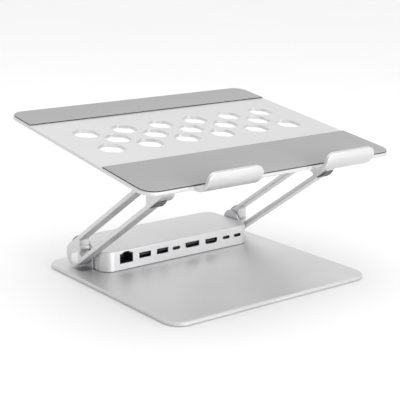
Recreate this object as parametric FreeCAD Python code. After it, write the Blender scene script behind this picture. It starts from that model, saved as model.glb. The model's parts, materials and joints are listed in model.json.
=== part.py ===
import FreeCAD, Part
import math
import os

# Laptop docking station: a flat base plate that carries a port dock, two slotted folding arms
# beside the dock, and a tilting plate with padded strips and two front lips for the laptop.
# Millimetres, +Z up, the front with the ports and lips faces -Y, the left side is at -X.
# The origin is the middle of the whole object's outline, on the surface that it stands on.
# Pieces are built with Y = 0 at the middle of the base plate and shifted once at the end.

V = FreeCAD.Vector

# ---- Base plate and feet
base_width = 240.0
base_depth = 226.6
base_thickness = 3.5
base_corner_radius = 16.2
base_bevel = 0.8
foot_radius = 8.0
foot_height = 1.0
foot_recess = 0.8
foot_inset = 18.0
foot_edge_radius = 0.3

# ---- Folding arms
arm_angle = 34.15
arm_height = 24.6
arm_thickness = 11.7
arm_edge_radius = 0.7
hinge_span = 164.5
lower_axis_y = 75.0
lower_axis_rise = 16.5
lower_setback = 4.5
upper_setback = 2.8
rail_thickness = 4.2
slot_lower_wall = 15.95
slot_upper_wall = 13.9
slot_corner_radius = 3.0
ridge_radius = 4.3
ridge_along = 9.2
ridge_above = 1.4
bumper_margin = 0.7
bumper_depth = 1.6
top_bumper_start = 5.2
top_bumper_length = 17.5
top_bumper_proud = 1.2
end_bumper_start = 16.1
end_bumper_length = 16.35
end_bumper_proud = 2.0
cover_thickness = 1.2
cover_gap = 0.2
cover_front = 6.6
cover_back = 6.4
cover_rise = 3.7
cover_slope = 23.6

# ---- Hinges
running_clearance = 0.05
side_clearance = 0.1
washer_thickness = 0.4
washer_radius = 9.0
pin_radius = 3.5
pin_depth = 8.0
pin_head_radius = 5.5
lower_head_height = 0.8
upper_head_height = 1.8
head_rounding = 0.5
socket_across_flats = 4.0
socket_depth = 1.0

# ---- Base brackets
base_ear_thickness = 1.9
base_ear_radius = 13.0
base_flange_thickness = 1.5
base_flange_margin = 1.0
bracket_fit = 0.15
base_screw_spread = 8.0
base_screw_radius = 1.5
base_screw_head_radius = 2.8
base_screw_head_height = 1.3

# ---- Laptop plate
plate_width = 295.9
plate_depth = 243.7
plate_thickness = 3.5
plate_corner_radius = 14.4
plate_edge_radius = 0.8
plate_tilt = 8.0
plate_axis_back = 48.6
plate_axis_drop = 15.5
vent_across_flats = 24.6
vent_corner_radius = 6.5
vent_pitch = 43.6
vent_row_pitch = 22.9
vent_front_row = 114.3
vent_rows = (6, 5, 6)
vent_bevel = 0.35

# ---- Plate brackets
plate_ear_thickness = 5.8
plate_ear_radius = 12.0
plate_flange_width = 17.8
plate_flange_length = 34.0
plate_flange_thickness = 3.0
plate_screw_spread = 10.0
plate_screw_radius = 2.0
plate_screw_head_radius = 3.8
plate_screw_head_height = 2.0
screw_clearance = 0.15
small_drive = 2.0
large_drive = 2.5
drive_depth_share = 0.7

# ---- Pads and lips
pad_inset = 0.9
pad_thickness = 1.2
pad_edge_radius = 0.3
front_pad_back = 70.6
back_pad_front = 201.2
lip_inner_x = 38.0
lip_width = 61.0
lip_tongue = 3.0
lip_outer_radius = 17.0
lip_top = 18.0
lip_corner_radius = 8.0
lip_edge_radius = 1.0
lip_root_overlap = 3.0
lip_pad_margin = 12.0
lip_pad_thickness = 0.8
lip_pad_start = 48.0
lip_pad_end = 90.0

# ---- Dock
dock_width = 186.4
dock_front_y = 41.9
dock_depth = 70.4
dock_height = 21.0
dock_corner_radius = 12.0
dock_top_radius = 1.2
dock_wall = 1.8
seal_height = 0.6
seal_inset = 0.5
cover_plate_thickness = 2.0
cover_plate_fit = 0.15
board_rise = 4.7
board_thickness = 1.6
board_margin = 1.2
boss_radius = 3.2
dock_screw_x = 86.0
dock_screw_inset = 10.5
dock_screw_radius = 1.5
dock_screw_head_radius = 2.9
dock_screw_head_height = 1.6
dock_screw_bite = 7.0

# ---- Connectors: name, middle x, width, middle height over the base plate, height, depth, outline
can_wall = 0.35
can_fit = 0.15
can_setback = 0.2
can_back_wall = 1.0
tongue_gap = 0.8
tongue_side_gap = 1.5
tongue_thickness_share = 0.32
tongue_lift_share = 0.14
network_block_depth = 6.0
network_block_height = 1.4
network_block_side_gap = 3.0
connectors = (
    ("network_jack", -67.4, 14.8, 12.1, 9.2, 17.0, "stepped"),
    ("wide_port_1", -44.55, 13.5, 11.65, 5.0, 14.0, "plain"),
    ("wide_port_2", -22.9, 13.5, 11.65, 5.0, 14.0, "plain"),
    ("small_port_1", -5.2, 8.7, 11.5, 2.7, 8.0, "round"),
    ("video_port_1", 15.5, 17.2, 11.8, 5.0, 13.0, "one_corner"),
    ("video_port_2", 40.65, 15.0, 11.2, 4.8, 12.0, "two_corners"),
    ("small_port_2", 61.15, 8.7, 11.5, 2.7, 8.0, "round"),
    ("small_port_3", 76.4, 8.7, 11.5, 2.7, 8.0, "round"),
)
corner_cut = 1.8
latch_steps = ((9.0, 1.0), (5.4, 1.95))
chips = ((-52.0, 84.0, 16.0, 16.0, 1.4), (4.0, 86.0, 12.0, 12.0, 1.2), (48.0, 84.0, 20.0, 14.0, 1.6))

# ---- Places worked out from the sizes above
base_top = foot_height + base_thickness
lower_axis_z = base_top + lower_axis_rise
arm_cos = math.cos(math.radians(arm_angle))
arm_sin = math.sin(math.radians(arm_angle))
arm_half = arm_height / 2
slot_half = arm_half - rail_thickness
lower_end = -lower_setback
upper_end = hinge_span + upper_setback
dock_half = dock_width / 2
base_ear_x = dock_half + 0.7
arm_inner_x = base_ear_x + base_ear_thickness + washer_thickness + side_clearance
arm_outer_x = arm_inner_x + arm_thickness
plate_ear_outer_x = arm_inner_x - side_clearance - washer_thickness
plate_ear_inner_x = plate_ear_outer_x - plate_ear_thickness
dock_back_y = dock_front_y + dock_depth
dock_middle_y = (dock_front_y + dock_back_y) / 2
dock_top_z = base_top + dock_height
board_z = base_top + board_rise
board_top_z = board_z + board_thickness
tiny = 0.01


def arm_point(along, above):
    """Point of the arm's side view: distance along it from the lower axis, and above its middle line."""
    y = lower_axis_y - along * arm_cos + above * arm_sin
    z = lower_axis_z + along * arm_sin + above * arm_cos
    return V(0, y, z)


upper_axis = arm_point(hinge_span, 0)


def block(x0, x1, y0, y1, z0, z1):
    return Part.makeBox(x1 - x0, y1 - y0, z1 - z0, V(x0, y0, z0))


def x_cylinder(x0, x1, centre, radius):
    return Part.makeCylinder(radius, x1 - x0, V(x0, centre.y, centre.z), V(1, 0, 0))


def z_cylinder(x, y, z0, z1, radius):
    return Part.makeCylinder(radius, z1 - z0, V(x, y, z0))


def edges_along(shape, direction):
    """Straight edges that run along one direction."""
    found = []
    for edge in shape.Edges:
        if edge.Curve.TypeId == "Part::GeomLine" and abs(edge.Curve.Direction.dot(direction)) > 0.999:
            found.append(edge)
    return found


def edges_at(shape, axis, value):
    """Edges that lie whole in the plane where one coordinate has one value."""
    found = []
    for edge in shape.Edges:
        box = edge.BoundBox
        low, high = {"x": (box.XMin, box.XMax), "z": (box.ZMin, box.ZMax)}[axis]
        if abs(low - value) < tiny and abs(high - value) < tiny:
            found.append(edge)
    return found


def slab(width, depth, height, radius, middle=V(0, 0, 0)):
    """Rounded plate: middle is the centre of its lower face."""
    plain = block(-width / 2, width / 2, -depth / 2, depth / 2, 0, height)
    plain.translate(middle)
    return plain.makeFillet(radius, edges_along(plain, V(0, 0, 1)))


def extruded(points, direction):
    """Straight-sided outline extruded along one direction."""
    wire = Part.makePolygon(list(points) + [points[0]])
    return Part.Face(wire).extrude(direction)


def outline(edges, direction):
    wire = Part.Wire([curve.toShape() for curve in edges])
    return Part.Face(wire).extrude(direction)


def mirrored(shape):
    return shape.mirror(V(0, 0, 0), V(1, 0, 0))


def six_sided(centre, across_flats, direction):
    """Six-sided prism from its centre along Z or X."""
    reach = across_flats / math.sqrt(3)
    points = []
    for n in range(6):
        turn = math.radians(60 * n)
        first, second = reach * math.cos(turn), reach * math.sin(turn)
        points.append(centre + (V(0, first, second) if direction.x else V(first, second, 0)))
    return extruded(points, direction)


def countersunk(x, y, z, up, head_radius, head_height, shank_radius, length, drive=0.0):
    """Flat-headed screw from its head's face at z, pointing up or down, with a six-sided socket."""
    head = Part.makeCone(head_radius, shank_radius, head_height, V(x, y, z), V(0, 0, up))
    shank = Part.makeCylinder(shank_radius, length, V(x, y, z), V(0, 0, up))
    screw = head.fuse(shank).removeSplitter()
    if drive:
        screw = screw.cut(six_sided(V(x, y, z), drive, V(0, 0, up * head_height * drive_depth_share)))
    return screw


def on_plate(shape):
    """Moves a shape from the plate's own frame (front top edge at the origin) to its tilted place."""
    turned = FreeCAD.Rotation(V(1, 0, 0), plate_tilt)
    local_axis = V(0, plate_axis_back, -plate_thickness - plate_axis_drop)
    place = FreeCAD.Placement(upper_axis - turned.multVec(local_axis), turned)
    placed = shape.copy()
    placed.Placement = place.multiply(shape.Placement)
    return placed


# ---- Base
def foot_places():
    x = base_width / 2 - foot_inset
    y = base_depth / 2 - foot_inset
    return [(sx * x, sy * y) for sx in (-1, 1) for sy in (-1, 1)]


def bracket_screw_places():
    x = (base_ear_x + base_ear_thickness + arm_outer_x - base_flange_margin) / 2
    return [(sx * x, lower_axis_y + sy * base_screw_spread) for sx in (-1, 1) for sy in (-1, 1)]


def dock_screw_places():
    rows = (dock_front_y + dock_screw_inset, dock_back_y - dock_screw_inset)
    return [(sx * dock_screw_x, y) for sx in (-1, 1) for y in rows]


def bracket_screw(x, y, extra=0.0, drive=0.0):
    return countersunk(x, y, foot_height, 1, base_screw_head_radius + extra, base_screw_head_height,
                       base_screw_radius + extra, base_thickness, drive)


def dock_screw(x, y, extra=0.0, drive=0.0):
    length = board_top_z - foot_height + dock_screw_bite
    return countersunk(x, y, foot_height, 1, dock_screw_head_radius + extra, dock_screw_head_height,
                       dock_screw_radius + extra, length, drive)


def make_base_plate():
    plate = slab(base_width, base_depth, base_thickness, base_corner_radius, V(0, 0, foot_height))
    plate = plate.makeChamfer(base_bevel, edges_at(plate, "z", base_top))
    for x, y in foot_places():
        plate = plate.cut(z_cylinder(x, y, foot_height, foot_height + foot_recess, foot_radius))
    pocket = block(base_ear_x - bracket_fit, arm_outer_x - base_flange_margin + bracket_fit,
                   lower_axis_y - base_ear_radius - bracket_fit, lower_axis_y + base_ear_radius + bracket_fit,
                   base_top - base_flange_thickness, base_top)
    plate = plate.cut(pocket).cut(mirrored(pocket))
    for x, y in bracket_screw_places():
        plate = plate.cut(bracket_screw(x, y, screw_clearance))
    for x, y in dock_screw_places():
        plate = plate.cut(dock_screw(x, y, screw_clearance))
    return plate


def make_feet():
    feet = [z_cylinder(x, y, 0, foot_height + foot_recess, foot_radius) for x, y in foot_places()]
    return Part.makeCompound([foot.makeFillet(foot_edge_radius, edges_at(foot, "z", 0)) for foot in feet])


def make_base_bracket():
    floor_z = base_top - base_flange_thickness
    y0 = lower_axis_y - base_ear_radius
    y1 = lower_axis_y + base_ear_radius
    centre = V(0, lower_axis_y, lower_axis_z)
    ear = block(base_ear_x, base_ear_x + base_ear_thickness, y0, y1, floor_z, lower_axis_z)
    ear = ear.fuse(x_cylinder(base_ear_x, base_ear_x + base_ear_thickness, centre, base_ear_radius))
    flange = block(base_ear_x, arm_outer_x - base_flange_margin, y0, y1, floor_z, base_top)
    bracket = ear.fuse(flange).removeSplitter()
    head = x_cylinder(base_ear_x, base_ear_x + lower_head_height, centre, pin_head_radius + side_clearance)
    shank = x_cylinder(base_ear_x, arm_inner_x, centre, pin_radius + running_clearance)
    bracket = bracket.cut(head).cut(shank)
    for x, y in bracket_screw_places():
        if x > 0:
            bracket = bracket.cut(z_cylinder(x, y, floor_z, base_top, base_screw_radius))
    return bracket


# ---- Arms
def arm_prism(points, x0, x1):
    shape = extruded([arm_point(u, w) for u, w in points], V(x1 - x0, 0, 0))
    shape.translate(V(x0, 0, 0))
    return shape


def slot_cutter():
    shear = math.tan(math.radians(arm_angle))
    low = lower_end + slot_lower_wall
    high = upper_end - slot_upper_wall
    lean = slot_half * shear
    corners = [(low - lean, -slot_half), (low + lean, slot_half),
               (high + lean, slot_half), (high - lean, -slot_half)]
    cutter = arm_prism(corners, arm_inner_x - 1, arm_outer_x + 1)
    return cutter.makeFillet(slot_corner_radius, edges_along(cutter, V(1, 0, 0)))


def bumper(start, length, side, proud):
    """Cushion let into the arm's upper or lower face, with an arched top."""
    base = side * (arm_half - bumper_depth)
    face = side * arm_half
    a = arm_point(start, base)
    b = arm_point(start, face)
    crown = arm_point(start + length / 2, face + side * proud)
    c = arm_point(start + length, face)
    d = arm_point(start + length, base)
    sides = [Part.LineSegment(a, b), Part.Arc(b, crown, c), Part.LineSegment(c, d), Part.LineSegment(d, a)]
    shape = outline(sides, V(arm_thickness - 2 * bumper_margin, 0, 0))
    shape.translate(V(arm_inner_x + bumper_margin, 0, 0))
    return shape


def top_bumper():
    return bumper(lower_end + top_bumper_start, top_bumper_length, 1, top_bumper_proud)


def end_bumper():
    return bumper(upper_end - end_bumper_start, end_bumper_length, -1, end_bumper_proud)


def hinge_cover(grow=0.0):
    """Flush cap low on the outer face of the arm's rounded lower end."""
    front_y = lower_axis_y - cover_front - grow
    back_y = lower_axis_y + cover_back + grow
    slope = math.tan(math.radians(cover_slope))
    front_z = lower_axis_z + cover_rise + grow
    back_z = front_z - (back_y - front_y) * slope
    low_z = lower_axis_z - arm_height
    points = [V(0, front_y, low_z), V(0, front_y, front_z), V(0, back_y, back_z), V(0, back_y, low_z)]
    plan = extruded(points, V(cover_thickness, 0, 0))
    plan.translate(V(arm_outer_x - cover_thickness, 0, 0))
    if grow:
        return plan
    round_end = x_cylinder(arm_outer_x - cover_thickness, arm_outer_x, arm_point(lower_end, 0),
                           arm_half - arm_edge_radius)
    return plan.common(round_end)


def make_arm():
    ends = [arm_point(lower_end, arm_half), arm_point(upper_end, arm_half), arm_point(upper_end + arm_half, 0),
            arm_point(upper_end, -arm_half), arm_point(lower_end, -arm_half), arm_point(lower_end - arm_half, 0)]
    sides = [Part.LineSegment(ends[0], ends[1]), Part.Arc(ends[1], ends[2], ends[3]),
             Part.LineSegment(ends[3], ends[4]), Part.Arc(ends[4], ends[5], ends[0])]
    arm = outline(sides, V(arm_thickness, 0, 0))
    arm.translate(V(arm_inner_x, 0, 0))
    arm = arm.cut(slot_cutter())
    rims = edges_at(arm, "x", arm_inner_x) + edges_at(arm, "x", arm_outer_x)
    arm = arm.makeFillet(arm_edge_radius, rims)
    ridge = x_cylinder(arm_inner_x + arm_edge_radius, arm_outer_x - arm_edge_radius,
                       arm_point(ridge_along, ridge_above), ridge_radius)
    arm = arm.fuse(ridge)
    arm = arm.cut(top_bumper()).cut(end_bumper()).cut(hinge_cover(cover_gap))
    lower_centre = V(0, lower_axis_y, lower_axis_z)
    arm = arm.cut(x_cylinder(arm_inner_x, arm_inner_x + pin_depth, lower_centre, pin_radius))
    upper_bore = x_cylinder(arm_inner_x, arm_inner_x + pin_depth + side_clearance, upper_axis,
                            pin_radius + running_clearance)
    return arm.cut(upper_bore)


# ---- Hinge pins and washers
def make_lower_pin():
    centre = V(0, lower_axis_y, lower_axis_z)
    head = x_cylinder(base_ear_x, base_ear_x + lower_head_height - side_clearance, centre, pin_head_radius)
    shank = x_cylinder(base_ear_x, arm_inner_x + pin_depth, centre, pin_radius)
    return head.fuse(shank).removeSplitter()


def make_upper_pin():
    seat_x = plate_ear_inner_x - side_clearance
    head_x = seat_x - upper_head_height
    head = x_cylinder(head_x, seat_x, upper_axis, pin_head_radius)
    head = head.makeFillet(head_rounding, edges_at(head, "x", head_x))
    shank = x_cylinder(seat_x, arm_inner_x + pin_depth, upper_axis, pin_radius)
    socket = six_sided(V(head_x, upper_axis.y, upper_axis.z), socket_across_flats, V(socket_depth, 0, 0))
    return head.fuse(shank).cut(socket).removeSplitter()


def make_washer(centre):
    x1 = arm_inner_x - side_clearance
    x0 = x1 - washer_thickness
    ring = x_cylinder(x0, x1, centre, washer_radius)
    return ring.cut(x_cylinder(x0, x1, centre, pin_radius + running_clearance))


# ---- Laptop plate
def vent_prism(x, back):
    """Rounded six-sided opening with corners towards the front and back."""
    reach = vent_across_flats / math.sqrt(3)
    points = []
    for n in range(6):
        turn = math.radians(60 * n + 30)
        points.append(V(x + reach * math.cos(turn), back + reach * math.sin(turn), -plate_thickness))
    prism = extruded(points, V(0, 0, plate_thickness))
    return prism.makeFillet(vent_corner_radius, edges_along(prism, V(0, 0, 1)))


def vent_places():
    places = []
    for row, count in enumerate(vent_rows):
        back = vent_front_row + row * vent_row_pitch
        for n in range(count):
            places.append(((n - (count - 1) / 2) * vent_pitch, back))
    return places


def lip_profile(x0, x1):
    """Tongue that runs forward from the plate's edge and curls up into a hook."""
    middle = V(0, -lip_tongue, lip_outer_radius - plate_thickness)
    inner = lip_outer_radius - plate_thickness
    half = math.sqrt(0.5)
    low = [V(0, lip_root_overlap, -plate_thickness), V(0, -lip_tongue, -plate_thickness)]
    outer_mid = V(0, middle.y - lip_outer_radius * half, middle.z - lip_outer_radius * half)
    front = [V(0, middle.y - lip_outer_radius, middle.z), V(0, middle.y - lip_outer_radius, lip_top)]
    back = [V(0, middle.y - inner, lip_top), V(0, middle.y - inner, middle.z)]
    inner_mid = V(0, middle.y - inner * half, middle.z - inner * half)
    top = [V(0, -lip_tongue, 0), V(0, lip_root_overlap, 0)]
    sides = [Part.LineSegment(low[0], low[1]), Part.Arc(low[1], outer_mid, front[0]),
             Part.LineSegment(front[0], front[1]), Part.LineSegment(front[1], back[0]),
             Part.LineSegment(back[0], back[1]), Part.Arc(back[1], inner_mid, top[0]),
             Part.LineSegment(top[0], top[1]), Part.LineSegment(top[1], low[0])]
    hook = outline(sides, V(x1 - x0, 0, 0))
    hook.translate(V(x0, 0, 0))
    return hook


def make_lip(x0, x1):
    hook = lip_profile(x0, x1)
    corners = [e for e in edges_along(hook, V(0, 1, 0)) if abs(e.BoundBox.ZMin - lip_top) < tiny]
    hook = hook.makeFillet(lip_corner_radius, corners)
    rims = [e for e in hook.Edges if e.BoundBox.ZMin > 0 and e.BoundBox.YMax < -lip_outer_radius]
    hook = hook.makeFillet(lip_edge_radius, rims)
    for side, x in ((-1, x0), (1, x1)):
        x_low = min(x, x + side * lip_tongue)
        fillet = block(x_low, x_low + lip_tongue, -lip_tongue, lip_root_overlap, -plate_thickness, 0)
        hollow = Part.makeCylinder(lip_tongue, plate_thickness,
                                   V(x + side * lip_tongue, -lip_tongue, -plate_thickness))
        hook = hook.fuse(fillet.cut(hollow))
    return hook.removeSplitter()


def plate_screw_places():
    x = plate_ear_outer_x - plate_flange_width + (plate_flange_width - plate_ear_thickness) / 2
    return [(sx * x, plate_axis_back + sy * plate_screw_spread) for sx in (-1, 1) for sy in (-1, 1)]


def plate_screw(x, back, extra=0.0, drive=0.0):
    length = plate_thickness + plate_flange_thickness
    return countersunk(x, back, 0, -1, plate_screw_head_radius + extra, plate_screw_head_height,
                       plate_screw_radius + extra, length, drive)


def plate_outline(inset, bottom, thickness):
    """The plate's outline moved inwards, as a slab in the plate's own frame."""
    return slab(plate_width - 2 * inset, plate_depth - 2 * inset, thickness, plate_corner_radius - inset,
                V(0, plate_depth / 2, bottom))


def make_top_plate():
    plate = plate_outline(0, -plate_thickness, plate_thickness)
    plate = plate.makeFillet(plate_edge_radius, edges_at(plate, "z", 0) + edges_at(plate, "z", -plate_thickness))
    for x, back in vent_places():
        plate = plate.cut(vent_prism(x, back))
    rims = []
    for edge in edges_at(plate, "z", 0):
        box = edge.BoundBox
        if box.YMin > front_pad_back and box.YMax < back_pad_front:
            rims.append(edge)
    plate = plate.makeChamfer(vent_bevel, rims)
    for x0, x1 in ((lip_inner_x, lip_inner_x + lip_width), (-lip_inner_x - lip_width, -lip_inner_x)):
        plate = plate.fuse(make_lip(x0, x1))
    for x, back in plate_screw_places():
        plate = plate.cut(plate_screw(x, back, screw_clearance))
    return on_plate(plate)


def make_pad(front, back):
    whole = plate_outline(pad_inset, 0, pad_thickness)
    band = whole.common(block(-plate_width, plate_width, front, back, 0, pad_thickness))
    return on_plate(band.makeFillet(pad_edge_radius, edges_at(band, "z", pad_thickness)))


def make_lip_pad():
    """Thin curved strip on the inner face of a lip."""
    x0 = lip_inner_x + lip_pad_margin
    x1 = lip_inner_x + lip_width - lip_pad_margin
    centre = V(0, -lip_tongue, lip_outer_radius - plate_thickness)
    outer = lip_outer_radius - plate_thickness
    inner = outer - lip_pad_thickness
    start = math.radians(lip_pad_start)
    end = math.radians(lip_pad_end)

    def at(radius, turn):
        return V(0, centre.y - radius * math.sin(turn), centre.z - radius * math.cos(turn))

    middle = (start + end) / 2
    sides = [Part.Arc(at(outer, start), at(outer, middle), at(outer, end)),
             Part.LineSegment(at(outer, end), at(inner, end)),
             Part.Arc(at(inner, end), at(inner, middle), at(inner, start)),
             Part.LineSegment(at(inner, start), at(outer, start))]
    strip = outline(sides, V(x1 - x0, 0, 0))
    strip.translate(V(x0, 0, 0))
    return strip


def make_plate_bracket():
    under = -plate_thickness
    axis = V(0, plate_axis_back, under - plate_axis_drop)
    ear = block(plate_ear_inner_x, plate_ear_outer_x, plate_axis_back - plate_ear_radius,
                plate_axis_back + plate_ear_radius, axis.z, under)
    ear = ear.fuse(x_cylinder(plate_ear_inner_x, plate_ear_outer_x, axis, plate_ear_radius)).removeSplitter()
    rims = edges_at(ear, "x", plate_ear_inner_x)
    rims = [edge for edge in rims if edge.BoundBox.ZMax < under - tiny or edge.BoundBox.ZLength > 1]
    ear = ear.makeFillet(arm_edge_radius, rims)
    flange = block(plate_ear_outer_x - plate_flange_width, plate_ear_outer_x,
                   plate_axis_back - plate_flange_length / 2, plate_axis_back + plate_flange_length / 2,
                   under - plate_flange_thickness, under)
    bracket = ear.fuse(flange)
    bracket = bracket.cut(x_cylinder(plate_ear_inner_x, plate_ear_outer_x, axis, pin_radius + running_clearance))
    for x, back in plate_screw_places():
        if x > 0:
            bracket = bracket.cut(z_cylinder(x, back, under - plate_flange_thickness, under, plate_screw_radius))
    return bracket.removeSplitter()


# ---- Dock
def dock_outline(inset, bottom, height):
    return slab(dock_width - 2 * inset, dock_depth - 2 * inset, height, dock_corner_radius - inset,
                V(0, dock_middle_y, bottom))


def mouth(x, z, width, height, shape, y0, y1, grow=0.0):
    """Prism along Y with one connector's outline, grown by an even margin."""
    w = width / 2 + grow
    h = height / 2 + grow
    cut = corner_cut
    left = x - w
    right = x + w
    low = z - h
    high = z + h
    corners = {
        "plain": [(left, low), (right, low), (right, high), (left, high)],
        "one_corner": [(left + cut, low), (right, low), (right, high), (left, high), (left, low + cut)],
        "two_corners": [(left + cut, low), (right - cut, low), (right, low + cut), (right, high), (left, high),
                        (left, low + cut)],
    }
    points = corners.get(shape, corners["plain"])
    prism = extruded([V(px, y0, pz) for px, pz in points], V(0, y1 - y0, 0))
    if shape == "round":
        prism = prism.makeFillet(h - tiny, edges_along(prism, V(0, 1, 0)))
    if shape == "stepped":
        for step_width, step_height in latch_steps:
            step = step_width / 2 + grow
            prism = prism.fuse(block(x - step, x + step, y0, y1, low, high + step_height))
        prism = prism.removeSplitter()
    return prism


def make_dock_shell():
    z0 = base_top + seal_height
    shell = dock_outline(0, z0, dock_top_z - z0)
    shell = shell.makeFillet(dock_top_radius, edges_at(shell, "z", dock_top_z))
    shell = shell.cut(dock_outline(dock_wall, z0, dock_top_z - dock_wall - z0))
    for x, y in dock_screw_places():
        boss = z_cylinder(x, y, board_top_z, dock_top_z - dock_wall, boss_radius)
        bite = z_cylinder(x, y, board_top_z, board_top_z + dock_screw_bite, dock_screw_radius)
        shell = shell.fuse(boss).cut(bite)
    for name, x, width, rise, height, depth, shape in connectors:
        grow = can_wall + can_fit
        hole = mouth(x, base_top + rise, width, height, shape, dock_front_y - 1, dock_front_y + dock_wall + 1, grow)
        shell = shell.cut(hole)
    return shell.removeSplitter()


def make_dock_cover():
    cover = dock_outline(dock_wall + cover_plate_fit, base_top, cover_plate_thickness)
    cover = cover.fuse(dock_outline(seal_inset, base_top, seal_height)).removeSplitter()
    for x, y in dock_screw_places():
        cover = cover.fuse(z_cylinder(x, y, base_top, board_z, boss_radius))
        cover = cover.cut(z_cylinder(x, y, base_top, board_z, dock_screw_radius + screw_clearance))
    return cover


def make_circuit_board():
    board = dock_outline(dock_wall + board_margin, board_z, board_thickness)
    for x, y in dock_screw_places():
        board = board.cut(z_cylinder(x, y, board_z, board_top_z, dock_screw_radius + screw_clearance))
    return board


def make_connector(x, width, rise, height, depth, shape):
    """Thin-walled metal can with an open mouth at the dock's front, standing on the circuit board."""
    z = base_top + rise
    back = dock_front_y + depth
    can = mouth(x, z, width, height, shape, dock_front_y + can_setback, back, can_wall)
    low = z - height / 2 - can_wall
    leg_front = dock_front_y + dock_wall + board_margin
    legs = block(x - width / 2 + corner_cut, x + width / 2 - corner_cut, leg_front, back, board_top_z, low + can_wall)
    can = can.fuse(legs)
    can = can.cut(mouth(x, z, width, height, shape, dock_front_y, back - can_back_wall))
    return can.removeSplitter()


def make_tongue(x, width, rise, height, depth, shape):
    """Contact carrier inside a connector's mouth."""
    z = base_top + rise
    back = dock_front_y + depth - can_back_wall
    if shape == "stepped":
        high = z + height / 2
        half = width / 2 - network_block_side_gap
        return block(x - half, x + half, back - network_block_depth, back, high - network_block_height, high)
    thick = height * tongue_thickness_share
    lift = height * tongue_lift_share if shape in ("plain", "one_corner") else 0.0
    front = dock_front_y + tongue_gap
    half = width / 2 - tongue_side_gap
    return block(x - half, x + half, front, back, z + lift - thick / 2, z + lift + thick / 2)


def make_chips():
    pieces = []
    for x, y, width, depth, height in chips:
        chip = block(-width / 2, width / 2, -depth / 2, depth / 2, board_top_z, board_top_z + height)
        chip.translate(V(x, y, 0))
        pieces.append(chip)
    return Part.makeCompound(pieces)


# ---- All pieces by name
pieces = {
    "base_plate": make_base_plate(),
    "base_feet": make_feet(),
    "base_bracket_screws": Part.makeCompound(
        [bracket_screw(x, y, drive=small_drive) for x, y in bracket_screw_places()]),
    "dock_shell": make_dock_shell(),
    "dock_bottom_cover": make_dock_cover(),
    "circuit_board": make_circuit_board(),
    "board_chips": make_chips(),
    "dock_screws": Part.makeCompound([dock_screw(x, y, drive=small_drive) for x, y in dock_screw_places()]),
    "top_plate": make_top_plate(),
    "front_pad": make_pad(pad_inset, front_pad_back),
    "back_pad": make_pad(back_pad_front, plate_depth - pad_inset),
    "plate_bracket_screws": on_plate(
        Part.makeCompound([plate_screw(x, y, drive=large_drive) for x, y in plate_screw_places()])),
}
for name, x, width, rise, height, depth, shape in connectors:
    pieces[name] = make_connector(x, width, rise, height, depth, shape)
pieces["port_contacts"] = Part.makeCompound([make_tongue(*row[1:]) for row in connectors])

lower_axis = V(0, lower_axis_y, lower_axis_z)
right_side = {
    "base_bracket": make_base_bracket(),
    "arm": make_arm(),
    "hinge_cover": hinge_cover(),
    "top_bumper": top_bumper(),
    "end_bumper": end_bumper(),
    "lower_pin": make_lower_pin(),
    "upper_pin": make_upper_pin(),
    "lower_washer": make_washer(lower_axis),
    "upper_washer": make_washer(upper_axis),
    "plate_bracket": on_plate(make_plate_bracket()),
    "lip_pad": on_plate(make_lip_pad()),
}
for name, shape in right_side.items():
    pieces["right_" + name] = shape
    pieces["left_" + name] = mirrored(shape)

outer = pieces["top_plate"].optimalBoundingBox(False, False)
outer.add(pieces["base_plate"].optimalBoundingBox(False, False))
outer.add(pieces["back_pad"].optimalBoundingBox(False, False))
shift = V(0, -(outer.YMin + outer.YMax) / 2, 0)

os.makedirs("parts", exist_ok=True)
for name, shape in pieces.items():
    shape.translate(shift)
    shape.exportStep("parts/" + name + ".step")
print("pieces", len(pieces))
print("shift", round(shift.y, 4))
print("lower axis", round(lower_axis_y + shift.y, 4), round(lower_axis_z, 4))
print("upper axis", round(upper_axis.y + shift.y, 4), round(upper_axis.z, 4))
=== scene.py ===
"""Laptop docking station: finishes, pads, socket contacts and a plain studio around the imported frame."""

import json
import math
from collections import namedtuple
import bmesh
import bpy
from bpy.props import FloatProperty, FloatVectorProperty, IntProperty, PointerProperty
from mathutils import Matrix, Vector


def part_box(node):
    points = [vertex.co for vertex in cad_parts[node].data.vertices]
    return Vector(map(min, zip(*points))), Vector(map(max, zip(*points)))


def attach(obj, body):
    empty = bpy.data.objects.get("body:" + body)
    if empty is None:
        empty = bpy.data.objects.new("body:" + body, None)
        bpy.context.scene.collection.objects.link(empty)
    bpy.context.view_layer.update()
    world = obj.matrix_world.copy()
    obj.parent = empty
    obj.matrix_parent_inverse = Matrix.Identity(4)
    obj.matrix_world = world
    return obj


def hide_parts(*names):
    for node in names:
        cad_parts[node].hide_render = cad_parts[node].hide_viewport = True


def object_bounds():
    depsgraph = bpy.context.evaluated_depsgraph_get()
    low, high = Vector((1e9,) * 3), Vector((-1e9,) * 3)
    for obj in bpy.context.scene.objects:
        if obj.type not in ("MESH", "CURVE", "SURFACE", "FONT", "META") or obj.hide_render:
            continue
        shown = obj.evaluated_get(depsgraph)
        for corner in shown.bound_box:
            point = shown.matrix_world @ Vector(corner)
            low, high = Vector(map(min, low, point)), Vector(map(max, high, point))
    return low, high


bl_info = {
    "name": "Laptop docking station",
    "version": (1, 0, 0),
    "blender": (4, 5, 0),
    "location": "View3D > Sidebar > Docking station",
    "description": "Builds the looks of a folding laptop stand with a port dock",
    "category": "Object",
}

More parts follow.
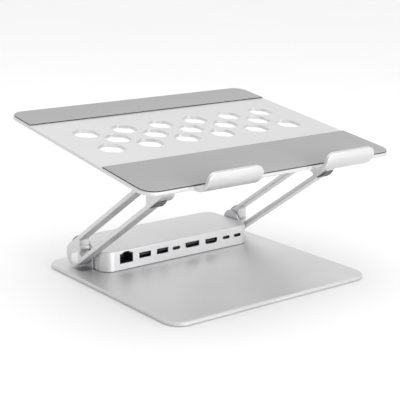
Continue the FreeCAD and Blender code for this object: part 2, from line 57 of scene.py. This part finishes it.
MM = 0.001
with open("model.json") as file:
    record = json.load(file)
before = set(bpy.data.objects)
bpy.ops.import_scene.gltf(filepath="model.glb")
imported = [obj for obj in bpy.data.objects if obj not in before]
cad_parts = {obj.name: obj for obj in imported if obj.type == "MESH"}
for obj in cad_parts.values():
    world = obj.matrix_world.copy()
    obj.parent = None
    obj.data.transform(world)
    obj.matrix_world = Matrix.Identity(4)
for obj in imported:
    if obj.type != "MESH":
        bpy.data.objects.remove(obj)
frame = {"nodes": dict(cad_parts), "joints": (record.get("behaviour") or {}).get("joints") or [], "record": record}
CAD_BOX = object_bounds()
NODES = frame["nodes"]
JOINTS = {joint["name"]: joint for joint in frame["joints"]}
SLOTS = {part["node"]: part["material_slot"] for part in frame["record"]["subparts"]}
# The plate is level at the low end of its tilt joint, so this is its slope at rest.
PLATE_SLOPE = math.radians(-JOINTS["plate_tilt"]["range_deg"][0])


# ---- Sizes and colours

class PadSizes(bpy.types.PropertyGroup):
    """Sizes of the silicone pads and lip strips"""

    corner: FloatProperty(name="Pad corner radius",
                          description="Rounding of the pads where they follow the plate's corners",
                          default=13.5 * MM, subtype="DISTANCE", unit="LENGTH")
    edge: FloatProperty(name="Pad edge rounding", description="Rounding of the pads' upper rim",
                        default=0.45 * MM, subtype="DISTANCE", unit="LENGTH")
    inset: FloatProperty(name="Pad inset", description="Distance from the plate's edge to the pads",
                         default=0.9 * MM, subtype="DISTANCE", unit="LENGTH")
    lip_reach: FloatProperty(name="Lip reach",
                             description="Flat tongue between the plate's edge and the lip's curve",
                             default=3.0 * MM, subtype="DISTANCE", unit="LENGTH")
    lip_radius: FloatProperty(name="Lip inner radius",
                              description="Radius of the curved inner face of each lip",
                              default=13.5 * MM, subtype="DISTANCE", unit="LENGTH")
    strip: FloatProperty(name="Strip thickness", description="Thickness of the strip inside each lip",
                         default=0.8 * MM, subtype="DISTANCE", unit="LENGTH")
    rib: FloatProperty(name="Rib depth", description="Depth of the grooves between the strip's ribs",
                       default=0.25 * MM, subtype="DISTANCE", unit="LENGTH")
    strip_start: FloatProperty(name="Strip start",
                               description="Turn of the lip's curve where its strip begins",
                               default=math.radians(48), subtype="ANGLE", unit="ROTATION")
    ribs: IntProperty(name="Ribs", description="Ribs across each lip strip", default=9, min=2, max=40)


class PortSizes(bpy.types.PropertyGroup):
    """Sizes of the contacts inside the sockets"""

    lead_in: FloatProperty(name="Lead-in", description="Chamfer on the front edges of each contact carrier",
                           default=0.25 * MM, subtype="DISTANCE", unit="LENGTH")
    spring: FloatProperty(name="Contact height", description="How far a contact stands proud of its carrier",
                          default=0.12 * MM, subtype="DISTANCE", unit="LENGTH")
    fill: FloatProperty(name="Contact share", description="Share of the contact pitch that is metal",
                        default=0.5, min=0.1, max=0.9, subtype="FACTOR")


class Finishes(bpy.types.PropertyGroup):
    """Colours of the materials"""

    aluminium: FloatVectorProperty(name="Aluminium", description="Bead-blasted and clear anodised aluminium",
                                   subtype="COLOR", size=3, min=0, max=1, default=(0.69, 0.69, 0.695))
    silicone: FloatVectorProperty(name="Silicone", description="Grey silicone of the pads and lip strips",
                                  subtype="COLOR", size=3, min=0, max=1, default=(0.385, 0.385, 0.39))
    cushion: FloatVectorProperty(name="Cushion", description="Dark cushions let into the arms",
                                 subtype="COLOR", size=3, min=0, max=1, default=(0.10, 0.10, 0.105))
    steel: FloatVectorProperty(name="Steel", description="Brackets, pins and screws",
                               subtype="COLOR", size=3, min=0, max=1, default=(0.62, 0.62, 0.63))
    gold: FloatVectorProperty(name="Contacts", description="Plated contacts in the sockets",
                              subtype="COLOR", size=3, min=0, max=1, default=(0.83, 0.61, 0.27))


class StudioLights(bpy.types.PropertyGroup):
    """Light and floor of the studio"""

    ambient: FloatProperty(name="Room light", description="Light from all round, less from the left",
                           default=1.04, min=0)
    shaded: FloatProperty(name="Left share", description="Share of the room light that comes from the left",
                          default=0.72, min=0, max=1, subtype="FACTOR")
    key: FloatProperty(name="Key light", description="Power of the large soft light overhead",
                       default=4.0, min=0, unit="POWER")
    fill: FloatProperty(name="Fill light", description="Power of the low front light", default=27.0, min=0,
                        unit="POWER")


# ---- Modelling helpers

def deselect_all():
    """Leaves nothing selected, because operators act on all that is."""
    for other in bpy.context.selected_objects:
        other.select_set(False)


def only(piece):
    deselect_all()
    piece.select_set(True)
    bpy.context.view_layer.objects.active = piece


def settle(piece):
    """Puts the piece's place into its mesh, with its object at the origin."""
    only(piece)
    bpy.ops.object.transform_apply(location=True, rotation=True, scale=True)
    return piece


def block(name, low, high):
    """Box between two corners, ready to be shaped."""
    deselect_all()
    low, high = Vector(low), Vector(high)
    bpy.ops.mesh.primitive_cube_add(size=1, location=(low + high) / 2)
    piece = bpy.context.object
    piece.name = name
    piece.data.name = name
    piece.scale = high - low
    return settle(piece)


def pick(piece, kind, test):
    """Selects the vertices, edges or faces of a piece in edit mode that pass a test."""
    only(piece)
    bpy.ops.object.mode_set(mode="EDIT")
    bpy.ops.mesh.select_mode(type=kind)
    bpy.ops.mesh.select_all(action="DESELECT")
    mesh = bmesh.from_edit_mesh(piece.data)
    items = {"VERT": mesh.verts, "EDGE": mesh.edges, "FACE": mesh.faces}[kind]
    for item in items:
        if test(item):
            item.select_set(True)
    mesh.select_flush_mode()
    bmesh.update_edit_mesh(piece.data)


def round_edges(piece, test, width, segments):
    pick(piece, "EDGE", test)
    bpy.ops.mesh.bevel(offset=width, segments=segments, affect="EDGES")
    bpy.ops.object.mode_set(mode="OBJECT")


def smooth(piece, degrees=35):
    only(piece)
    bpy.ops.object.shade_smooth_by_angle(angle=math.radians(degrees))


def middle(edge):
    return (edge.verts[0].co + edge.verts[1].co) / 2


def along(edge, axis):
    return abs((edge.verts[1].co - edge.verts[0].co).normalized()[axis]) > 0.999


def finish_piece(piece, body, slot, *nodes, finish=None):
    """Gives a piece its material, the slot's unless another finish is named, and its body, and hides the nodes
    that it stands for.
    """
    piece.data.materials.clear()
    piece.data.materials.append(bpy.data.materials[finish or slot])
    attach(piece, body)
    if nodes:
        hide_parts(*nodes)


# ---- Shader groups

# Values between which nearly all of a noise lies.
NOISE_MIDDLE = (0.3, 0.7)

def new_group(name, inputs, outputs):
    """Empty shader group with named sockets."""
    group = bpy.data.node_groups.new(name, "ShaderNodeTree")
    for socket, kind, value in inputs:
        made = group.interface.new_socket(name=socket, in_out="INPUT", socket_type=kind)
        if value is not None:
            made.default_value = value
    for socket, kind in outputs:
        group.interface.new_socket(name=socket, in_out="OUTPUT", socket_type=kind)
    return group, group.nodes.new("NodeGroupInput"), group.nodes.new("NodeGroupOutput")


def add_noise(tree, vector, scale, detail):
    noise = tree.nodes.new("ShaderNodeTexNoise")
    noise.inputs["Detail"].default_value = detail
    tree.links.new(vector, noise.inputs["Vector"])
    tree.links.new(scale, noise.inputs["Scale"])
    return noise.outputs["Fac"]


def spread(tree, value, low, high):
    """Maps the busy middle of a noise onto a range."""
    remap = tree.nodes.new("ShaderNodeMapRange")
    remap.inputs["From Min"].default_value, remap.inputs["From Max"].default_value = NOISE_MIDDLE
    for name, end in (("To Min", low), ("To Max", high)):
        if isinstance(end, (int, float)):
            remap.inputs[name].default_value = end
        else:
            tree.links.new(end, remap.inputs[name])
    tree.links.new(value, remap.inputs["Value"])
    return remap.outputs["Result"]


def make_cloud_group():
    """Slow drift and fine speckle of colour and roughness over a surface."""
    inputs = (("Vector", "NodeSocketVector", None), ("Dark", "NodeSocketColor", (0.7, 0.7, 0.7, 1)),
              ("Light", "NodeSocketColor", (0.8, 0.8, 0.8, 1)), ("Patch Scale", "NodeSocketFloat", 14.0),
              ("Grain Scale", "NodeSocketFloat", 2600.0), ("Grain Share", "NodeSocketFloat", 0.5),
              ("Smooth", "NodeSocketFloat", 0.3), ("Rough", "NodeSocketFloat", 0.4))
    outputs = (("Color", "NodeSocketColor"), ("Roughness", "NodeSocketFloat"), ("Grain", "NodeSocketFloat"))
    group, given, result = new_group("drift_and_grain", inputs, outputs)
    drift = add_noise(group, given.outputs["Vector"], given.outputs["Patch Scale"], 3.0)
    patches = spread(group, drift, 0.0, 1.0)
    grain = add_noise(group, given.outputs["Vector"], given.outputs["Grain Scale"], 1.0)
    sharp = spread(group, grain, 0.0, 1.0)
    both = group.nodes.new("ShaderNodeMix")
    group.links.new(given.outputs["Grain Share"], both.inputs["Factor"])
    group.links.new(patches, both.inputs["A"])
    group.links.new(sharp, both.inputs["B"])
    tint = group.nodes.new("ShaderNodeMix")
    tint.data_type = "RGBA"
    group.links.new(both.outputs["Result"], tint.inputs["Factor"])
    group.links.new(given.outputs["Dark"], tint.inputs["A"])
    group.links.new(given.outputs["Light"], tint.inputs["B"])
    group.links.new(tint.outputs["Result"], result.inputs["Color"])
    rough = spread(group, patches, given.outputs["Smooth"], given.outputs["Rough"])
    group.links.new(rough, result.inputs["Roughness"])
    group.links.new(grain, result.inputs["Grain"])
    return group


def make_brush_group():
    """Fine parallel scratches, stretched along one direction by the vector that it is given."""
    inputs = (("Vector", "NodeSocketVector", None), ("Scale", "NodeSocketFloat", 900.0))
    group, given, result = new_group("brush_lines", inputs, (("Lines", "NodeSocketFloat"),))
    lines = add_noise(group, given.outputs["Vector"], given.outputs["Scale"], 3.0)
    group.links.new(lines, result.inputs["Lines"])
    return group


# ---- Materials

def shade(colour, share):
    """Colour made lighter or darker, with an alpha of one."""
    return tuple(min(1.0, part * share) for part in colour) + (1.0,)


# Tone contrast, scales of its patches and its grain, the grain's share of the tone, the two ends of the
# roughness, and the strength and depth of the bump.
Surface = namedtuple("Surface", "contrast patch grain share rough bump depth")

SURFACES = {
    "blasted_aluminium": Surface(0.025, 9.0, 2400.0, 0.6, (0.44, 0.54), 0.45, 0.02 * MM),
    # Polished, lower-roughness aluminium for the hinge covers, its colour made lighter as a painted highlight.
    "polished_painted_highlight_cover": Surface(0.015, 30.0, 2400.0, 0.5, (0.16, 0.24), 0.1, 0.01 * MM),
    "grey_silicone": Surface(0.03, 18.0, 3200.0, 0.5, (0.55, 0.68), 0.3, 0.03 * MM),
    # Much darker copy of the silicone for the pads' sides and undersides: painted shade along their edges.
    "silicone_painted_shade": Surface(0.1, 40.0, 2600.0, 0.5, (0.6, 0.72), 0.3, 0.03 * MM),
    "dark_cushion": Surface(0.12, 60.0, 2800.0, 0.5, (0.5, 0.62), 0.3, 0.03 * MM),
    "black_rubber": Surface(0.2, 50.0, 2200.0, 0.5, (0.6, 0.75), 0.35, 0.04 * MM),
    "port_plastic": Surface(0.15, 120.0, 3000.0, 0.5, (0.4, 0.5), 0.2, 0.02 * MM),
    "washer_nylon": Surface(0.03, 150.0, 2600.0, 0.4, (0.4, 0.5), 0.2, 0.02 * MM),
    "cover_plastic": Surface(0.12, 40.0, 1500.0, 0.6, (0.5, 0.62), 0.4, 0.05 * MM),
    "board_laminate": Surface(0.1, 70.0, 1200.0, 0.4, (0.28, 0.4), 0.2, 0.02 * MM),
    "chip_plastic": Surface(0.15, 150.0, 2400.0, 0.6, (0.45, 0.6), 0.3, 0.03 * MM),
    "studio_floor": Surface(0.01, 3.0, 200.0, 0.3, (0.7, 0.85), 0.05, 0.02 * MM),
}

# Stretch of the brush lines along each axis, and the two ends of the roughness.
BRUSHES = {
    "bracket_steel": ((1.0, 0.05, 1.0), (0.26, 0.36)),
    "screw_steel": ((1.0, 1.0, 0.05), (0.24, 0.34)),
    "port_metal": ((0.06, 1.0, 1.0), (0.22, 0.32)),
    "contact_gold": ((1.0, 0.06, 1.0), (0.2, 0.3)),
}

FIXED_COLOURS = {
    "black_rubber": (0.03, 0.03, 0.03),
    # Socket shell metal darkened well below bare nickel, a painted shade for the inside of the sockets.
    "port_metal": (0.22, 0.22, 0.225),
    "port_plastic": (0.02, 0.02, 0.021),
    "washer_nylon": (0.78, 0.77, 0.73),
    "cover_plastic": (0.06, 0.06, 0.065),
    "board_laminate": (0.02, 0.17, 0.08),
    "chip_plastic": (0.03, 0.03, 0.031),
    "studio_floor": (0.96, 0.96, 0.96),
}

METALS = ("blasted_aluminium", "polished_painted_highlight_cover")
# Lightening of the aluminium for the hinge covers, a painted highlight.
PAINTED_HIGHLIGHT_GAIN = 1.2
# Share of the silicone's colour kept on the pads' sides, a painted shade.
PAINTED_SHADE_SHARE = 0.11
SILICONE_SPECULAR = 0.1


def shade(colour, share):
    """Colour made lighter or darker."""
    return tuple(min(1.0, part * share) for part in colour)


def grained(name, colour, surface, metallic):
    """Material with drifting tone, fine grain in colour and roughness, and a bump of the same grain."""
    material = bpy.data.materials.new(name)
    material.use_nodes = True
    tree = material.node_tree
    shader = tree.nodes["Principled BSDF"]
    shader.inputs["Metallic"].default_value = metallic
    place = tree.nodes.new("ShaderNodeTexCoord")
    cloud = tree.nodes.new("ShaderNodeGroup")
    cloud.node_tree = bpy.data.node_groups["drift_and_grain"]
    values = {"Dark": shade(colour, 1 - surface.contrast) + (1.0,),
              "Light": shade(colour, 1 + surface.contrast) + (1.0,),
              "Patch Scale": surface.patch, "Grain Scale": surface.grain, "Grain Share": surface.share,
              "Smooth": surface.rough[0], "Rough": surface.rough[1]}
    for socket, value in values.items():
        cloud.inputs[socket].default_value = value
    tree.links.new(place.outputs["Object"], cloud.inputs["Vector"])
    tree.links.new(cloud.outputs["Color"], shader.inputs["Base Color"])
    tree.links.new(cloud.outputs["Roughness"], shader.inputs["Roughness"])
    relief = tree.nodes.new("ShaderNodeBump")
    relief.inputs["Strength"].default_value = surface.bump
    relief.inputs["Distance"].default_value = surface.depth
    tree.links.new(cloud.outputs["Grain"], relief.inputs["Height"])
    tree.links.new(relief.outputs["Normal"], shader.inputs["Normal"])
    return material


def brushed(name, colour, stretch, rough):
    """Metal with fine lines along one axis over the drifting tone."""
    material = grained(name, colour, Surface(0.05, 40.0, 1800.0, 0.4, rough, 0.25, 0.02 * MM), 1.0)
    tree = material.node_tree
    squeeze = tree.nodes.new("ShaderNodeMapping")
    squeeze.inputs["Scale"].default_value = stretch
    lines = tree.nodes.new("ShaderNodeGroup")
    lines.node_tree = bpy.data.node_groups["brush_lines"]
    tree.links.new(tree.nodes["Texture Coordinate"].outputs["Object"], squeeze.inputs["Vector"])
    tree.links.new(squeeze.outputs["Vector"], lines.inputs["Vector"])
    tree.links.new(lines.outputs["Lines"], tree.nodes["Bump"].inputs["Height"])


def make_materials(chosen):
    """One finish for each material slot of the record, and four more for single pieces and the floor."""
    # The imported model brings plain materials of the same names, which would keep those names for themselves.
    for packed in list(bpy.data.materials):
        packed.name = "packed_" + packed.name
    make_cloud_group()
    make_brush_group()
    colours = dict(FIXED_COLOURS)
    colours.update({
        "blasted_aluminium": chosen.aluminium, "polished_painted_highlight_cover": shade(chosen.aluminium, PAINTED_HIGHLIGHT_GAIN),
        "grey_silicone": chosen.silicone, "silicone_painted_shade": shade(chosen.silicone, PAINTED_SHADE_SHARE),
        "dark_cushion": chosen.cushion, "bracket_steel": chosen.steel, "screw_steel": chosen.steel,
        "contact_gold": chosen.gold,
    })
    for name, surface in SURFACES.items():
        grained(name, colours[name], surface, 1.0 if name in METALS else 0.0)
    for name, (stretch, rough) in BRUSHES.items():
        brushed(name, colours[name], stretch, rough)
    silicone = bpy.data.materials["grey_silicone"].node_tree.nodes["Principled BSDF"]
    silicone.inputs["Specular IOR Level"].default_value = SILICONE_SPECULAR


# ---- The plate's own frame

def plate_frame():
    """Front top edge of the plate, and the matrix that carries level shapes onto its slope."""
    low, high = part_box("front_pad")
    depth, thick = sloped_size(low, high)
    back, up = math.cos(PLATE_SLOPE), math.sin(PLATE_SLOPE)
    inset = bpy.context.scene.stand_pads.inset
    corner = Vector((0.0, low.y + thick * up - inset * back, low.z - inset * up))
    return Matrix.Translation(corner) @ Matrix.Rotation(PLATE_SLOPE, 4, "X")


def sloped_size(low, high):
    """Depth and thickness of a slab that lies on the plate, from its box."""
    run, rise = high.y - low.y, high.z - low.z
    spread_of = math.cos(2 * PLATE_SLOPE)
    depth = (run * math.cos(PLATE_SLOPE) - rise * math.sin(PLATE_SLOPE)) / spread_of
    thick = (rise * math.cos(PLATE_SLOPE) - run * math.sin(PLATE_SLOPE)) / spread_of
    return depth, thick


def carry(piece, matrix):
    """Moves a level piece to its sloped place and puts the place into its mesh."""
    piece.matrix_world = matrix
    return settle(piece)


# ---- Operators

class STAND_OT_finishes(bpy.types.Operator):
    """Give every piece of the frame its finish"""

    bl_idname = "stand.finishes"
    bl_label = "Finish the frame"

    def execute(self, context):
        make_materials(context.scene.stand_finishes)
        for name, node in NODES.items():
            # Hinge covers take the lighter aluminium copy, whose extra lightness is a painted highlight.
            finish = bpy.data.materials["polished_painted_highlight_cover" if name.endswith("_hinge_cover") else SLOTS[name]]
            for slot in node.material_slots:
                slot.material = finish
        return {"FINISHED"}


class STAND_OT_pads(bpy.types.Operator):
    """Model the two silicone pads that carry the laptop"""

    bl_idname = "stand.pads"
    bl_label = "Laptop pads"

    def execute(self, context):
        sizes = context.scene.stand_pads
        slope = Matrix.Rotation(PLATE_SLOPE, 4, "X")
        for name, outer_end in (("front_pad", -1), ("back_pad", 1)):
            low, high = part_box(name)
            depth, thick = sloped_size(low, high)
            half = (high.x - low.x) / 2
            pad = block("silicone_" + name, (-half, 0, 0), (half, depth, thick))
            outer_y = 0.0 if outer_end < 0 else depth
            round_edges(pad, lambda e: along(e, 2) and abs(middle(e).y - outer_y) < MM, sizes.corner, 14)
            near_top = sizes.edge / 10
            round_edges(pad, lambda e: all(abs(v.co.z - thick) < near_top for v in e.verts), sizes.edge, 4)
            corner = Vector((0, low.y + thick * math.sin(PLATE_SLOPE), low.z))
            carry(pad, Matrix.Translation(corner) @ slope)
            smooth(pad)
            finish_piece(pad, "plate", "grey_silicone", name)
            # The pads' sides and undersides take the darker silicone copy, painted shade along each pad's edges.
            pad.data.materials.append(bpy.data.materials["silicone_painted_shade"])
            for face in pad.data.polygons:
                if face.normal.dot(slope.to_3x3() @ Vector((0, 0, 1))) < 0.5:
                    face.material_index = 1
        return {"FINISHED"}


class STAND_OT_lip_strips(bpy.types.Operator):
    """Model the ribbed silicone strip inside each front lip"""

    bl_idname = "stand.lip_strips"
    bl_label = "Lip strips"

    def execute(self, context):
        sizes = context.scene.stand_pads
        place = plate_frame()
        for side in ("left", "right"):
            node = side + "_lip_pad"
            low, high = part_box(node)
            strip = self.bent_strip(node, low.x, high.x, sizes)
            carry(strip, place)
            smooth(strip, 50)
            finish_piece(strip, "plate", "grey_silicone", node)
        return {"FINISHED"}

    def bent_strip(self, node, left, right, sizes):
        """A thin section turned round the lip's axis, with ribs raised across its inner face."""
        start, end = sizes.strip_start, math.radians(90)
        axis = Vector((0, -sizes.lip_reach, sizes.lip_radius))
        bottom = axis.z - sizes.lip_radius
        deselect_all()
        centre = ((left + right) / 2, axis.y, bottom + sizes.strip / 2)
        bpy.ops.mesh.primitive_plane_add(size=1, location=centre)
        strip = bpy.context.object
        strip.name = "silicone_" + node
        strip.data.name = strip.name
        strip.scale = (right - left, sizes.strip, 1)
        strip.rotation_euler = (math.radians(90), 0, 0)
        settle(strip)
        turn = Matrix.Translation(axis) @ Matrix.Rotation(-start, 4, "X") @ Matrix.Translation(-axis)
        strip.matrix_world = turn
        settle(strip)
        only(strip)
        bpy.ops.object.mode_set(mode="EDIT")
        bpy.ops.mesh.select_all(action="SELECT")
        bpy.ops.mesh.spin(steps=2 * sizes.ribs, angle=-(end - start), center=axis, axis=(1, 0, 0))
        bpy.ops.mesh.select_all(action="SELECT")
        bpy.ops.mesh.remove_doubles(threshold=0.001 * MM)
        bpy.ops.object.mode_set(mode="OBJECT")
        self.face_outwards(strip)
        self.cut_ribs(strip, axis, start, end, sizes)
        return strip

    def face_outwards(self, strip):
        """Points every face of the turned section outwards."""
        only(strip)
        bpy.ops.object.mode_set(mode="EDIT")
        bpy.ops.mesh.select_all(action="SELECT")
        bpy.ops.mesh.normals_make_consistent(inside=False)
        bpy.ops.object.mode_set(mode="OBJECT")

    def cut_ribs(self, strip, axis, start, end, sizes):
        """Pushes every other line of the inner face back towards the lip."""
        step = (end - start) / (2 * sizes.ribs)
        inner = sizes.lip_radius - sizes.strip
        for vertex in strip.data.vertices:
            arm = Vector((0, vertex.co.y - axis.y, vertex.co.z - axis.z))
            angle = math.atan2(-arm.y, -arm.z)
            if arm.length < inner + sizes.strip / 2 and round((angle - start) / step) % 2:
                vertex.co += arm.normalized() * sizes.rib


class STAND_OT_port_contacts(bpy.types.Operator):
    """Model the contact carrier and the plated contacts of every socket"""

    bl_idname = "stand.port_contacts"
    bl_label = "Socket contacts"

    # Contacts in a row, and the faces of the carrier that they lie on.
    rows = {"network_jack": (8, (-1,)), "wide_port_1": (4, (-1,)), "wide_port_2": (4, (-1,)),
            "video_port_1": (10, (-1, 1)), "video_port_2": (9, (-1, 1)), "small_port_1": (12, (-1, 1)),
            "small_port_2": (12, (-1, 1)), "small_port_3": (12, (-1, 1))}

    def execute(self, context):
        sizes = context.scene.stand_ports
        points = [vertex.co for vertex in NODES["port_contacts"].data.vertices]
        for port, (count, faces) in self.rows.items():
            low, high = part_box(port)
            inside = [p for p in points if low.x < p.x < high.x]
            near = Vector([min(p[axis] for p in inside) for axis in range(3)])
            far = Vector([max(p[axis] for p in inside) for axis in range(3)])
            carrier = block(port + "_carrier", near, far)
            round_edges(carrier, lambda e: abs(middle(e).y - near.y) < 0.01 * MM, sizes.lead_in, 2)
            smooth(carrier)
            finish_piece(carrier, "base", "port_plastic", "port_contacts")
            contacts = self.contact_rows(port, near, far, count, faces, sizes)
            finish_piece(contacts, "base", "port_metal", finish="contact_gold")
        return {"FINISHED"}

    def contact_rows(self, port, near, far, count, faces, sizes):
        """One bevelled contact, copied along the carrier and joined to its row."""
        pitch = (far.x - near.x) / (count + 0.5)
        width = pitch * sizes.fill
        first_x = (near.x + far.x) / 2 - pitch * (count - 1) / 2
        setback = 6 * sizes.lead_in
        made = []
        for face in faces:
            level = near.z if face < 0 else far.z
            low_z, high_z = sorted((level - face * sizes.spring, level + face * sizes.spring))
            for n in range(count):
                x = first_x + n * pitch
                contact = block(port + "_contacts", (x - width / 2, near.y + setback, low_z),
                                (x + width / 2, far.y - setback, high_z))
                made.append(contact)
        joined = made[0]
        deselect_all()
        for contact in made:
            contact.select_set(True)
        bpy.context.view_layer.objects.active = joined
        bpy.ops.object.join()
        round_edges(joined, lambda e: along(e, 0), sizes.spring / 2, 2)
        smooth(joined)
        return joined


# Places and sizes of the studio, in metres. The camera's are from the middle of the base plate in Y.
FLOOR_SIZE = 14
KEY_PLACE, KEY_TARGET, KEY_SIZE = (-0.2, 0.35, 1.5), (0, 0, 0.05), 1.8
FILL_PLACE, FILL_TARGET, FILL_SIZE = (0.2, -1.9, 0.12), (0, 0.05, 0.01), 1.2
# The room light's share grows from the left's to all of it between these two sideways directions.
SIDE_DARK, SIDE_BRIGHT = -0.9, 0.2
CAMERA_PLACE, CAMERA_TARGET = (-0.64396, -0.83386, 0.34561), (0.06597, 0.09519, 0.04551)
CAMERA_LENS, CAMERA_SENSOR, CAMERA_ROLL = 97.94, 36.0, math.radians(0.33)


class STAND_OT_stage(bpy.types.Operator):
    """Set up the pale floor, the soft lights and the camera"""

    bl_idname = "stand.stage"
    bl_label = "Studio"

    def execute(self, context):
        lights = context.scene.stand_lights
        self.make_floor()
        self.make_room(lights.ambient, lights.shaded)
        self.add_light("key", KEY_PLACE, KEY_TARGET, KEY_SIZE, lights.key)
        self.add_light("fill", FILL_PLACE, FILL_TARGET, FILL_SIZE, lights.fill)
        self.add_camera()
        context.scene.view_settings.view_transform = "Standard"
        return {"FINISHED"}

    def make_floor(self):
        deselect_all()
        bpy.ops.mesh.primitive_plane_add(size=FLOOR_SIZE, location=(0, 0, CAD_BOX[0][2]))
        floor = bpy.context.object
        floor.name = "studio_floor"
        floor.data.materials.append(bpy.data.materials["studio_floor"])

    def make_room(self, strength, shaded):
        """White backdrop that lights the object less from the left."""
        world = bpy.data.worlds.new("studio_room")
        world.use_nodes = True
        tree = world.node_tree
        back = tree.nodes["Background"]
        place = tree.nodes.new("ShaderNodeTexCoord")
        split = tree.nodes.new("ShaderNodeSeparateXYZ")
        tree.links.new(place.outputs["Generated"], split.inputs["Vector"])
        side = tree.nodes.new("ShaderNodeMapRange")
        side.inputs["From Min"].default_value = SIDE_DARK
        side.inputs["From Max"].default_value = SIDE_BRIGHT
        side.inputs["To Min"].default_value = shaded * strength
        side.inputs["To Max"].default_value = strength
        tree.links.new(split.outputs["X"], side.inputs["Value"])
        seen = tree.nodes.new("ShaderNodeLightPath")
        mix = tree.nodes.new("ShaderNodeMix")
        tree.links.new(seen.outputs["Is Camera Ray"], mix.inputs["Factor"])
        tree.links.new(side.outputs["Result"], mix.inputs["A"])
        mix.inputs["B"].default_value = 1.0
        tree.links.new(mix.outputs["Result"], back.inputs["Strength"])
        back.inputs["Color"].default_value = (1, 1, 1, 1)
        bpy.context.scene.world = world

    def add_light(self, name, place, target, size, power):
        data = bpy.data.lights.new(name, "AREA")
        data.shape = "DISK"
        data.size = size
        data.energy = power
        lamp = bpy.data.objects.new(name + "_light", data)
        lamp.location = place
        lamp.rotation_euler = (Vector(target) - Vector(place)).to_track_quat("-Z", "Y").to_euler()
        bpy.context.scene.collection.objects.link(lamp)

    def add_camera(self):
        """Camera to the front left and a little above, with a long lens."""
        low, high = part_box("base_plate")
        centre_y = (low.y + high.y) / 2
        place, target = (Vector((x, y + centre_y, z)) for x, y, z in (CAMERA_PLACE, CAMERA_TARGET))
        data = bpy.data.cameras.new("view")
        data.lens = CAMERA_LENS
        data.sensor_width = CAMERA_SENSOR
        data.clip_start = 0.05
        data.clip_end = 50.0
        camera = bpy.data.objects.new("view", data)
        aim = (target - place).to_track_quat("-Z", "Y").to_matrix().to_4x4()
        camera.matrix_world = Matrix.Translation(place) @ aim @ Matrix.Rotation(CAMERA_ROLL, 4, "Z")
        bpy.context.scene.collection.objects.link(camera)
        bpy.context.scene.camera = camera


class STAND_PT_panel(bpy.types.Panel):
    """Buttons for each part of the build"""

    bl_idname = "STAND_PT_panel"
    bl_label = "Docking station"
    bl_space_type = "VIEW_3D"
    bl_region_type = "UI"
    bl_category = "Docking station"

    def draw(self, context):
        for operator in OPERATORS:
            self.layout.operator(operator.bl_idname)
        for group in ("stand_pads", "stand_ports", "stand_finishes", "stand_lights"):
            settings = getattr(context.scene, group)
            for name in settings.__annotations__:
                self.layout.prop(settings, name)


OPERATORS = (STAND_OT_finishes, STAND_OT_pads, STAND_OT_lip_strips, STAND_OT_port_contacts, STAND_OT_stage)
CLASSES = (PadSizes, PortSizes, Finishes, StudioLights) + OPERATORS + (STAND_PT_panel,)


def register():
    for item in CLASSES:
        bpy.utils.register_class(item)
    bpy.types.Scene.stand_pads = PointerProperty(type=PadSizes)
    bpy.types.Scene.stand_ports = PointerProperty(type=PortSizes)
    bpy.types.Scene.stand_finishes = PointerProperty(type=Finishes)
    bpy.types.Scene.stand_lights = PointerProperty(type=StudioLights)


def unregister():
    for name in ("stand_pads", "stand_ports", "stand_finishes", "stand_lights"):
        delattr(bpy.types.Scene, name)
    for item in reversed(CLASSES):
        bpy.utils.unregister_class(item)


def main():
    register()
    bpy.ops.stand.finishes()
    bpy.ops.stand.pads()
    bpy.ops.stand.lip_strips()
    bpy.ops.stand.port_contacts()
    bpy.ops.stand.stage()


if __name__ == "__main__":
    main()
